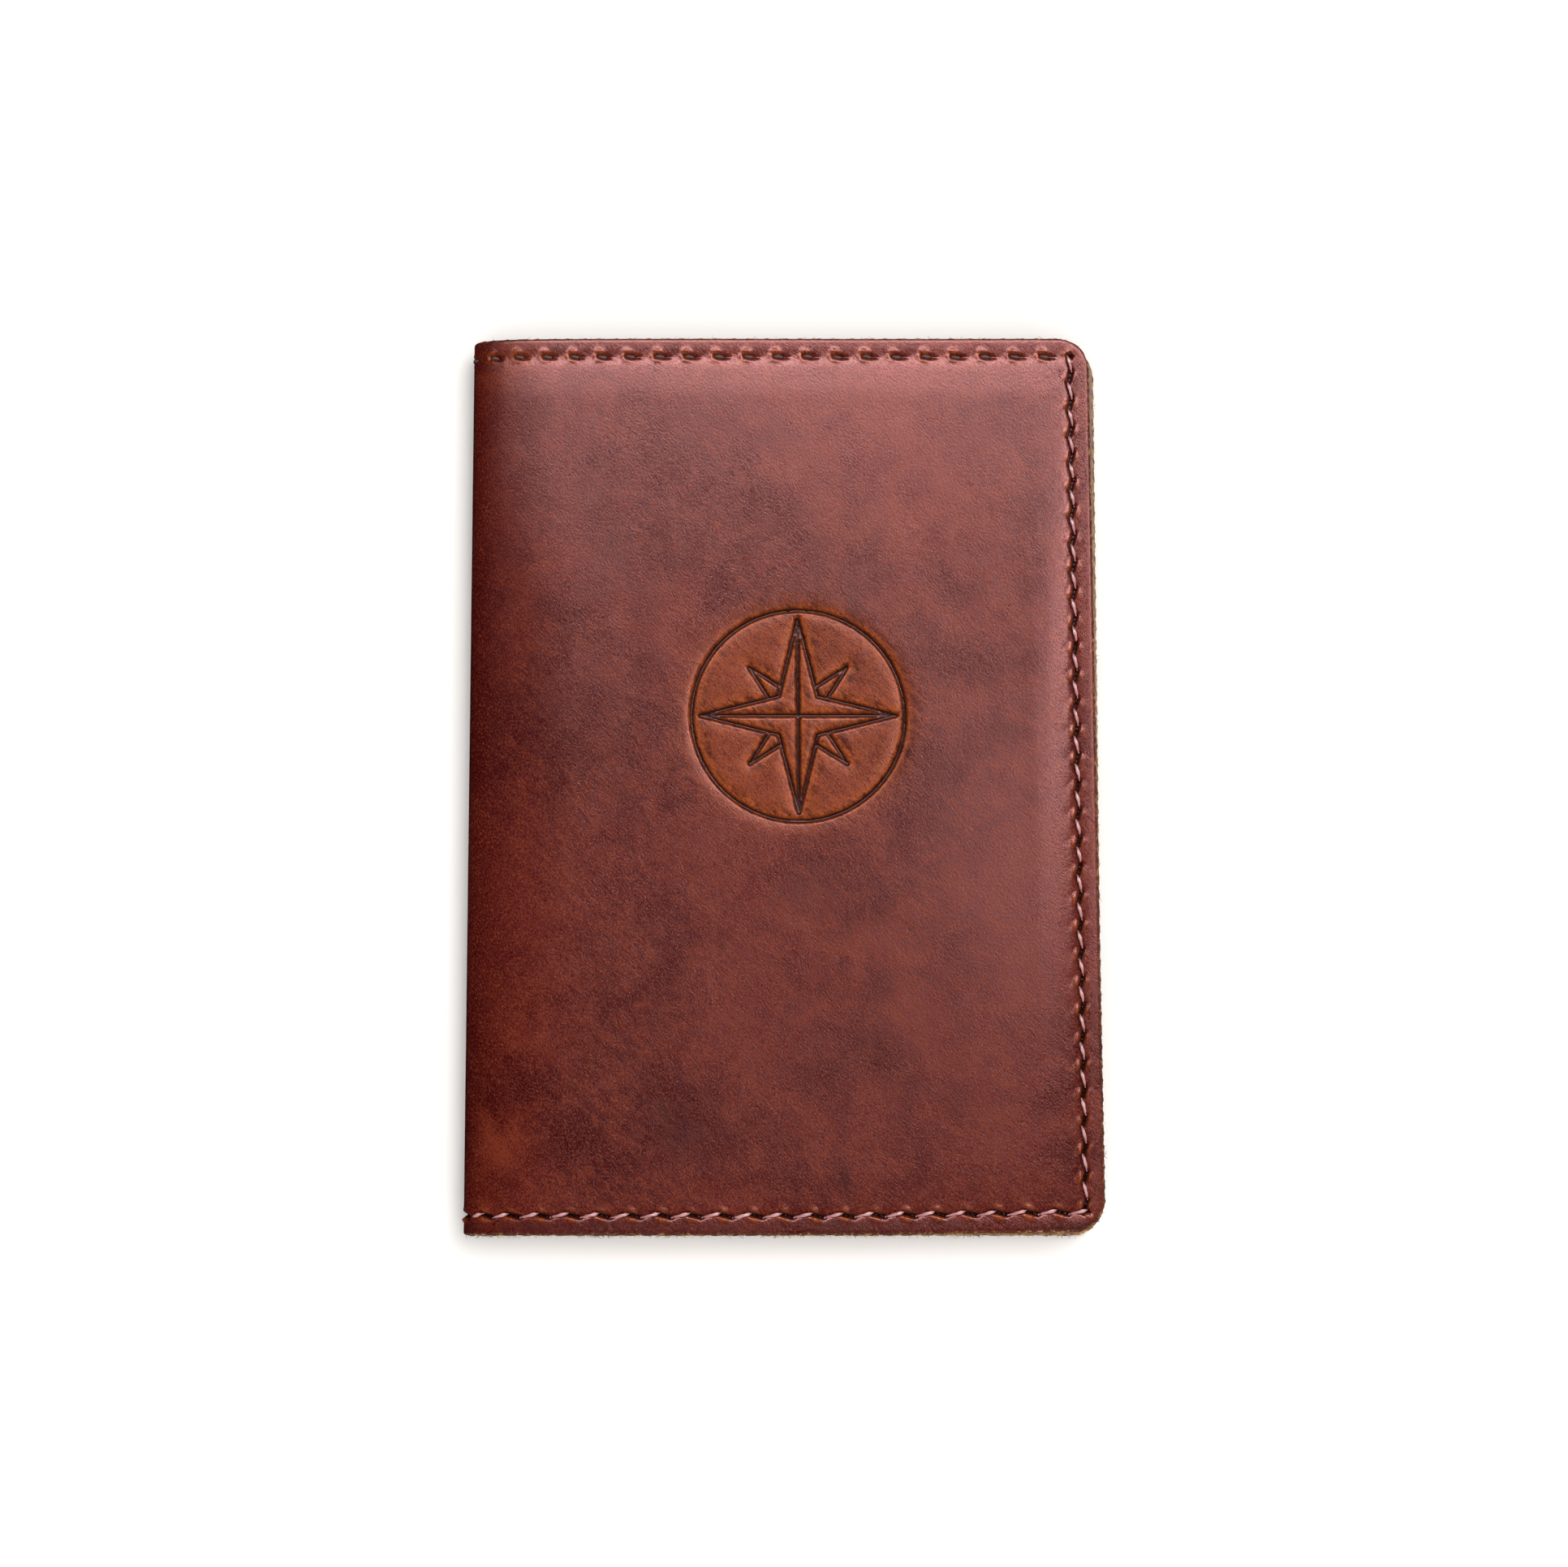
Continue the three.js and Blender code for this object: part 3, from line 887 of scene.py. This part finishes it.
def leaf_grid(level, end_x, ripple):
    """Upper and lower surface of one leaf, which rises from the nested folds and then lies flat."""
    fold_x = FOLD_HIGH[0]
    arc = np.linspace(0, math.pi / 2, 7)
    near_fold = fold_x + np.array([0.5, 1.2, 2, 3, 4.2, 5.6, 7.4, 10, 20, 40, 60])
    far_end = end_x - LEAF_CORNER * np.append(1, CORNER_STEPS)
    flat_x = np.concatenate([near_fold, far_end])
    x = np.concatenate([fold_x - level * np.cos(arc), flat_x])
    z = np.concatenate([level * np.sin(arc), np.full(len(flat_x), level)])
    nx = np.concatenate([-np.cos(arc), np.zeros(len(flat_x))])
    nz = np.concatenate([np.sin(arc), np.ones(len(flat_x))])
    y, xx = np.meshgrid(sheet_lines(LEAF_HIGH[1], LEAF_CORNER, 10), x)
    rounded_x, rounded_y = round_corners(xx, y, end_x, LEAF_HIGH[1], LEAF_CORNER)
    wave = ripple * np.sin(rounded_y / 21 + 30 * level) * smooth((xx - fold_x) / 30)
    surfaces = []
    for offset in (LEAF_THICKNESS / 2, -LEAF_THICKNESS / 2):
        points = [rounded_x + nx[:, None] * offset, rounded_y, z[:, None] + nz[:, None] * offset + wave]
        surfaces.append(np.stack(points, -1).reshape(-1, 3))
    return np.concatenate(surfaces), xx.shape


def make_leaves(side):
    rng = np.random.default_rng(21 if side == "front" else 22)
    room = LEAF_HIGH[2] - MID
    levels = np.linspace(0.055, room - 0.06, LEAVES_PER_HALF)
    points, faces = [], []
    for level in levels:
        end_x = LEAF_HIGH[0] - 0.35 * level / room + rng.normal(0, 0.05)
        grid, shape = leaf_grid(level, end_x, 0.008)
        faces += slab_faces(*shape, sum(len(p) for p in points))
        points.append(grid)
    points = np.concatenate(points)
    sign = 1 if side == "front" else -1
    points[:, 2] = MID + sign * points[:, 2]
    piece = mesh_from(f"{side}_leaves", points, faces, 40)
    write_uv(piece, points[:, 0], points[:, 1])
    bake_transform(piece)
    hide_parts(f"{side}_leaf_block", *(["leaf_fold"] if side == "back" else []))
    return piece


# ---------------- materials

class Finish:
    """A node material with one Principled shader, and short calls for the nodes that feed it."""

    def __init__(self, name, uv=True):
        self.material = bpy.data.materials.new(name)
        self.material.use_nodes = True
        self.tree = self.material.node_tree
        self.shader = next(n for n in self.tree.nodes if n.type == "BSDF_PRINCIPLED")
        self.place = None
        if uv:
            node = self.tree.nodes.new("ShaderNodeUVMap")
            node.uv_map = "leather"
            self.place = node.outputs["UV"]

    def set(self, **values):
        for name, value in values.items():
            self.shader.inputs[name.replace("_", " ")].default_value = value

    def feed(self, name, output):
        self.tree.links.new(output, self.shader.inputs[name])

    def _give(self, socket, value):
        if isinstance(value, bpy.types.NodeSocket):
            self.tree.links.new(value, socket)
        elif isinstance(value, (tuple, list)) and len(value) == 3 and socket.type == "RGBA":
            socket.default_value = (*value, 1)
        else:
            socket.default_value = value

    def math(self, operation, a, b=0.0, clamp=False):
        node = self.tree.nodes.new("ShaderNodeMath")
        node.operation = operation
        node.use_clamp = clamp
        self._give(node.inputs[0], a)
        self._give(node.inputs[1], b)
        return node.outputs[0]

    def times(self, a, b):
        return self.math("MULTIPLY", a, b)

    def plus(self, a, b, clamp=False):
        return self.math("ADD", a, b, clamp)

    def minus(self, a, b):
        return self.math("SUBTRACT", a, b)

    def line(self, value, width):
        """1 where the value passes the middle of its range, 0 beyond width from there."""
        return self.rise(self.math("ABSOLUTE", self.minus(value, 0.5)), width, 0.0)

    def over(self, colour, added, share, strength):
        """Lays the added colour over the first, by a varying share and an even strength."""
        return self.mix(self.times(share, strength), colour, added)

    def made(self, colour, rough, normal):
        self.feed("Base Color", colour)
        self.feed("Roughness", rough)
        self.feed("Normal", normal)
        return self.material

    def mask(self, name):
        node = self.tree.nodes.new("ShaderNodeAttribute")
        node.attribute_name = name
        return node.outputs["Fac"]

    def stretched(self, length, width, turn=0.0):
        """Coordinates in which a pattern is drawn out along a direction, turned by degrees."""
        node = self.tree.nodes.new("ShaderNodeMapping")
        node.vector_type = "TEXTURE"
        node.inputs["Scale"].default_value = (length, width, 1)
        node.inputs["Rotation"].default_value = (0, 0, math.radians(turn))
        self.tree.links.new(self.place, node.inputs["Vector"])
        return node.outputs[0]

    def noise(self, scale, detail=3.0, rough=0.5, distortion=0.0, where=None):
        node = self.tree.nodes.new("ShaderNodeTexNoise")
        node.inputs["Scale"].default_value = scale
        node.inputs["Detail"].default_value = detail
        node.inputs["Roughness"].default_value = rough
        node.inputs["Distortion"].default_value = distortion
        self.tree.links.new(where or self.place, node.inputs["Vector"])
        return node.outputs["Fac"]

    def rise(self, value, low, high):
        """0 below low, 1 above high, smooth between."""
        node = self.tree.nodes.new("ShaderNodeMapRange")
        node.interpolation_type = "SMOOTHSTEP"
        self._give(node.inputs["Value"], value)
        node.inputs["From Min"].default_value = low
        node.inputs["From Max"].default_value = high
        return node.outputs[0]

    def mix(self, share, a, b):
        node = self.tree.nodes.new("ShaderNodeMix")
        node.data_type = "RGBA"
        self._give(node.inputs["Factor"], share)
        self._give(node.inputs[6], a)
        self._give(node.inputs[7], b)
        return node.outputs[2]

    def bump(self, height, distance, strength):
        node = self.tree.nodes.new("ShaderNodeBump")
        node.inputs["Strength"].default_value = strength
        node.inputs["Distance"].default_value = distance
        self.tree.links.new(height, node.inputs["Height"])
        return node.outputs[0]


OXBLOOD = (0.046, 0.0022, 0.0026)
CHESTNUT = (0.104, 0.0115, 0.0080)
RUSSET = (0.165, 0.0270, 0.0095)
PIT = (0.016, 0.0007, 0.0009)
AMBER = (0.210, 0.038, 0.015)
# Dark brown, for the scorching and painted shade beside the stamp's lines.
SCORCHED_AND_SHADED = (0.040, 0.0070, 0.0022)
BURNISHED = (0.340, 0.078, 0.016)
NEAR_BLACK = (0.010, 0.0025, 0.0025)
STAIN = (0.026, 0.0075, 0.0095)
# Dark red, for the pore furrows and for the painted shade by the spine.
FURROW_AND_SPINE_SHADE = (0.034, 0.0010, 0.0011)
# Pale speck colour, for painted glints.
GLINT = (0.300, 0.140, 0.125)
RAW_TAN = (0.580, 0.330, 0.125)
RAW_DARK = (0.080, 0.032, 0.018)
SUEDE = (0.190, 0.075, 0.038)


def pull_up_leather():
    """Waxed leather: dark and even at rest, paler and more orange where it has been pulled."""
    f = Finish("pull_up_leather")
    cloud = f.noise(3.0, 2, 0.5, 0.3)
    patch = f.noise(13, 4, 0.6, 0.6)
    grain = f.noise(300, 2, 0.6, 0.2, f.stretched(1.6, 0.62, -52))
    pores = f.noise(130, 3, 0.6, 0.4, f.stretched(1.7, 0.55, -48))
    furrow = f.line(pores, 0.05)
    fibre = f.noise(62, 4, 0.65, 0.8, f.stretched(1.7, 0.6, -46))
    tone = f.plus(f.times(cloud, 0.65), f.times(patch, 0.35))
    colour = f.mix(f.rise(tone, 0.39, 0.61), OXBLOOD, CHESTNUT)
    fleck = f.times(f.rise(grain, 0.44, 0.72), f.rise(fibre, 0.24, 0.66))
    warm = f.times(f.rise(fibre, 0.36, 0.66), f.rise(patch, 0.30, 0.62))
    colour = f.over(colour, RUSSET, warm, 0.60)
    colour = f.over(colour, AMBER, fleck, 0.60)
    pit = f.rise(grain, 0.50, 0.32)
    colour = f.over(colour, PIT, pit, 0.72)
    # Painted glints: pale specks painted into the colour for the sheen's sparkle.
    glint = f.rise(f.noise(330, 1, 0.5), 0.50, 0.66)
    colour = f.over(colour, GLINT, glint, 0.17)
    colour = f.over(colour, FURROW_AND_SPINE_SHADE, furrow, 0.38)
    # Painted shade, darker towards the spine.
    colour = f.mix(f.times(f.mask("spine_shade"), f.rise(grain, 0.75, 0.40)), colour, FURROW_AND_SPINE_SHADE)
    patchy = f.rise(f.plus(patch, f.times(grain, 0.5)), 0.55, 0.95)
    colour = f.over(colour, AMBER, f.times(f.mask("worn"), patchy), 0.85)
    burnish = f.rise(f.plus(f.times(fibre, 0.6), grain), 0.50, 0.98)
    colour = f.mix(f.times(f.mask("pull"), burnish), colour, BURNISHED)
    colour = f.over(colour, CHESTNUT, f.times(f.mask("pull"), furrow), 0.5)
    # Scorching with painted shade beside the stamp's lines.
    scorch_and_shade = f.times(f.mask("scorch_and_shade"), f.rise(fibre, 0.62, 0.34))
    colour = f.mix(scorch_and_shade, colour, SCORCHED_AND_SHADED)
    stain = f.times(f.mask("stain"), f.rise(patch, 0.30, 0.62))
    colour = f.mix(stain, colour, STAIN)
    creases = f.noise(30, 3, 0.5, 1.4, f.stretched(3.2, 0.66, -15))
    crease = f.line(creases, 0.022)
    crease = f.times(crease, f.mask("wrinkle"))
    # Painted shade in the creases: they are painted darker.
    colour = f.over(colour, OXBLOOD, crease, 0.42)
    # Painted shade: slits, thread beds and stamped grooves are painted near black.
    colour = f.mix(f.mask("slit"), colour, NEAR_BLACK)
    frayed = f.noise(110, 4, 0.7, 0.5)
    raw_colour = f.mix(f.rise(frayed, 0.50, 0.66), RAW_DARK, RAW_TAN)
    colour = f.over(colour, raw_colour, f.mask("raw"), 0.9)
    suede = f.mix(f.rise(fibre, 0.35, 0.65), SUEDE, (0.26, 0.115, 0.06))
    colour = f.mix(f.mask("flesh"), colour, suede)
    dull = f.plus(f.times(f.mask("flesh"), 0.4), f.times(f.mask("raw"), 0.35))
    rough = f.plus(f.times(patch, 0.14), 0.115)
    rough = f.plus(rough, f.times(fleck, 0.08))
    f.set(Specular_Tint=(1.0, 0.50, 0.47, 1))
    f.feed("Specular IOR Level", f.minus(0.43, f.times(f.mask("matte"), 0.34)))
    relief = f.minus(f.times(grain, 0.6), f.times(pit, 0.25))
    relief = f.plus(relief, f.times(fibre, 0.35))
    relief = f.minus(relief, f.times(furrow, 0.22))
    relief = f.minus(relief, f.times(crease, 0.1))
    return f.made(colour, f.plus(rough, dull, clamp=True), f.bump(relief, 0.000045, 0.6))


def sleeve_leather_finish():
    """Unwaxed lining leather with a short nap and the same raw edges."""
    f = Finish("sleeve_leather")
    patch = f.noise(12, 4, 0.6, 0.4)
    nap = f.noise(120, 5, 0.75, 0.8, f.stretched(1.6, 0.7, 20))
    colour = f.mix(f.rise(patch, 0.35, 0.65), (0.165, 0.060, 0.032), (0.235, 0.095, 0.050))
    colour = f.over(colour, (0.34, 0.155, 0.085), f.rise(nap, 0.45, 0.70), 0.5)
    colour = f.mix(f.mask("pull"), colour, (0.36, 0.15, 0.07))
    # Painted shade in the slits and thread beds.
    colour = f.mix(f.mask("slit"), colour, (0.03, 0.012, 0.008))
    frayed = f.noise(110, 4, 0.7, 0.5)
    cut = f.mix(f.rise(frayed, 0.40, 0.58), RAW_DARK, (0.56, 0.32, 0.12))
    colour = f.over(colour, cut, f.mask("raw"), 0.9)
    return f.made(colour, f.plus(f.times(nap, 0.25), 0.52), f.bump(nap, 0.00012, 0.8))


def fibre_finish():
    """Cut leather fibres, tan where the dye has not reached."""
    f = Finish("cut_fibres")
    dyed = f.noise(45, 3, 0.6)
    colour = f.mix(f.rise(dyed, 0.42, 0.62), (0.120, 0.048, 0.022), (0.620, 0.400, 0.170))
    fuzz = f.noise(700, 2, 0.5)
    return f.made(colour, f.plus(f.times(dyed, 0.2), 0.6), f.bump(fuzz, 0.00002, 0.5))


def thread_finish():
    """Waxed thread, worn pale in patches, with painted highlights on crests and painted shade when deep.
    """
    f = Finish("waxed_thread")
    fibre = f.noise(900, 3, 0.6, 0.0, f.stretched(0.35, 1.0, 35))
    worn = f.noise(24, 2, 0.5)
    colour = f.mix(f.rise(fibre, 0.35, 0.7), (0.320, 0.115, 0.118), (0.620, 0.320, 0.325))
    colour = f.over(colour, (0.720, 0.460, 0.460), f.rise(worn, 0.5, 0.75), 0.5)
    # Painted highlight along the threads' crests.
    colour = f.over(colour, (0.780, 0.480, 0.470), f.mask("crest"), 0.35)
    # Painted shade: the head row's threads, deep in their beds, are painted nearly black.
    colour = f.over(colour, (0.020, 0.0060, 0.0055), f.mask("thread_shade"), 0.92)
    rough = f.plus(f.times(fibre, 0.2), 0.13)
    rough = f.plus(rough, f.times(f.mask("thread_shade"), 0.6), clamp=True)
    return f.made(colour, rough, f.bump(fibre, 0.00004, 0.6))


def card_finish():
    """Kraft card with flecks of fibre."""
    f = Finish("kraft_card")
    pulp = f.noise(90, 5, 0.7, 0.5)
    fleck = f.rise(f.noise(260, 2, 0.5, 1.5, f.stretched(2.4, 0.5, 50)), 0.66, 0.74)
    colour = f.mix(pulp, (0.33, 0.20, 0.105), (0.46, 0.30, 0.17))
    colour = f.over(colour, (0.17, 0.09, 0.045), fleck, 0.5)
    return f.made(colour, f.plus(f.times(pulp, 0.15), 0.75), f.bump(pulp, 0.00004, 0.5))


def paper_finish():
    """Uncoated cream paper."""
    f = Finish("paper")
    pulp = f.noise(140, 5, 0.7)
    tint = f.noise(5, 2, 0.5)
    colour = f.mix(tint, (0.66, 0.615, 0.505), (0.73, 0.685, 0.575))
    colour = f.over(colour, (0.56, 0.49, 0.37), pulp, 0.25)
    return f.made(colour, f.plus(f.times(pulp, 0.12), 0.78), f.bump(pulp, 0.00004, 0.6))


def wire_finish():
    """Bright drawn wire with faint scratches along it."""
    f = Finish("staple_wire", uv=False)
    coordinates = f.tree.nodes.new("ShaderNodeTexCoord")
    f.place = coordinates.outputs["Object"]
    drawn = f.noise(4000, 2, 0.5, 0.0, f.stretched(1.0, 20.0))
    f.feed("Base Color", f.mix(drawn, (0.50, 0.51, 0.52), (0.72, 0.72, 0.72)))
    f.set(Metallic=1.0)
    f.feed("Roughness", f.plus(f.times(drawn, 0.2), 0.22))
    return f.material


def dress(piece, material):
    piece.data.materials.clear()
    piece.data.materials.append(material)


# ---------------- camera, light and floor

def make_camera():
    """The viewpoint is high above the cover and a little towards its tail."""
    distance = 545.0
    tilt = math.radians(7.6)
    aim = Vector((0.0, -0.2, MID))
    eye = aim + distance * Vector((0, -math.sin(tilt), math.cos(tilt)))
    data = bpy.data.cameras.new("camera")
    data.sensor_width = 36
    data.lens = 78.0
    data.clip_start = 0.01
    camera = bpy.data.objects.new("camera", data)
    bpy.context.scene.collection.objects.link(camera)
    camera.location = eye * MM
    camera.rotation_euler = (aim - eye).to_track_quat("-Z", "Y").to_euler()
    bpy.context.scene.camera = camera


def add_light(name, kind, place_mm, colour):
    data = bpy.data.lights.new(name, kind)
    data.color = colour
    light = bpy.data.objects.new(name, data)
    bpy.context.scene.collection.objects.link(light)
    light.location = Vector(place_mm) * MM
    light.rotation_euler = (-light.location).to_track_quat("-Z", "Y").to_euler()
    return light


# Soft daylight from several sides: name, direction in millimetres, strength, angular size in degrees.
SKIES = [
    ("sky_back_right", (380, 285, 860), 1.80, 44),
    ("sky_top", (0, 60, 1000), 1.1, 80),
    ("sky_front", (100, -600, 800), 1.65, 70),
    ("sky_left", (-900, -200, 500), 0.25, 60),
]


# Panes that only give the sheen: name, place, width, height in millimetres, power in watts.
WINDOWS = [
    ("window", (20, 305, 430), 700, 170, 8.3),
    ("side_window", (268, 150, 470), 50, 400, 1.45),
]


def make_studio():
    scene = bpy.context.scene
    world = bpy.data.worlds.new("studio")
    world.use_nodes = True
    background = world.node_tree.nodes["Background"]
    background.inputs["Color"].default_value = (1.0, 0.99, 0.98, 1)
    background.inputs["Strength"].default_value = 0.86
    world.cycles_visibility.diffuse = False
    world.cycles_visibility.glossy = False
    scene.world = world
    scene.view_settings.view_transform = "Standard"
    for name, aim, strength, spread in SKIES:
        sky = add_light(name, "SUN", aim, (1.0, 0.975, 0.955))
        sky.data.energy = strength
        sky.data.angle = math.radians(spread)
        sky.visible_glossy = False
    for name, aim, width, height, power in WINDOWS:
        window = add_light(name, "AREA", aim, (1.0, 0.95, 0.97))
        window.data.shape = "RECTANGLE"
        window.data.size, window.data.size_y = width * MM, height * MM
        window.data.energy = power
        window.visible_diffuse = False
    bpy.ops.mesh.primitive_plane_add(size=60, location=(0, 0, -0.0001))
    floor = bpy.context.object
    floor.name = "floor"
    floor.visible_glossy = False
    f = Finish("floor_white", uv=False)
    f.set(Base_Color=(0.93, 0.925, 0.915, 1), Roughness=0.9, Specular_IOR_Level=0.1)
    dress(floor, f.material)


# ---------------- assembly

make_camera()
make_studio()

LEATHER_FINISH = pull_up_leather()
SLEEVE_FINISH = sleeve_leather_finish()
THREAD_FINISH = thread_finish()
FIBRE_FINISH = fibre_finish()
CARD_FINISH = card_finish()
PAPER_FINISH = paper_finish()
WIRE_FINISH = wire_finish()

STOOD_FOR = {
    "front": ["front_panel", "front_spine_bend"],
    "back": ["back_panel", "back_spine_bend", "spine_strip"],
}
SPINE_THREAD = {"front": "spine_head_thread", "back": "spine_tail_thread"}

for side in ("front", "back"):
    leather = make_outer_leather(side)
    bend_with_cover(leather)
    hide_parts(*STOOD_FOR[side])
    dress(leather, LEATHER_FINISH)

    face = make_stitches(f"{side}_face_stitches", leather_base, side, 0.0, leather_broad, seed=31)
    bend_with_cover(face)
    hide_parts(f"{side}_face_thread", SPINE_THREAD[side])
    dress(face, THREAD_FINISH)
    dress(make_fibres(side), FIBRE_FINISH)

    dress(make_sleeve(side), SLEEVE_FINISH)
    name = f"{side}_lining_stitches"
    lining = make_stitches(name, sleeve_base, side, SLEEVE_START, sleeve_broad, seed=37)
    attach(lining, f"{side}_cover")
    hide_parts(f"{side}_lining_thread")
    dress(lining, THREAD_FINISH)

    dress(make_card(side), CARD_FINISH)
    dress(make_leaves(side), PAPER_FINISH)

for name in ("head_staple", "tail_staple"):
    dress(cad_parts[name], WIRE_FINISH)
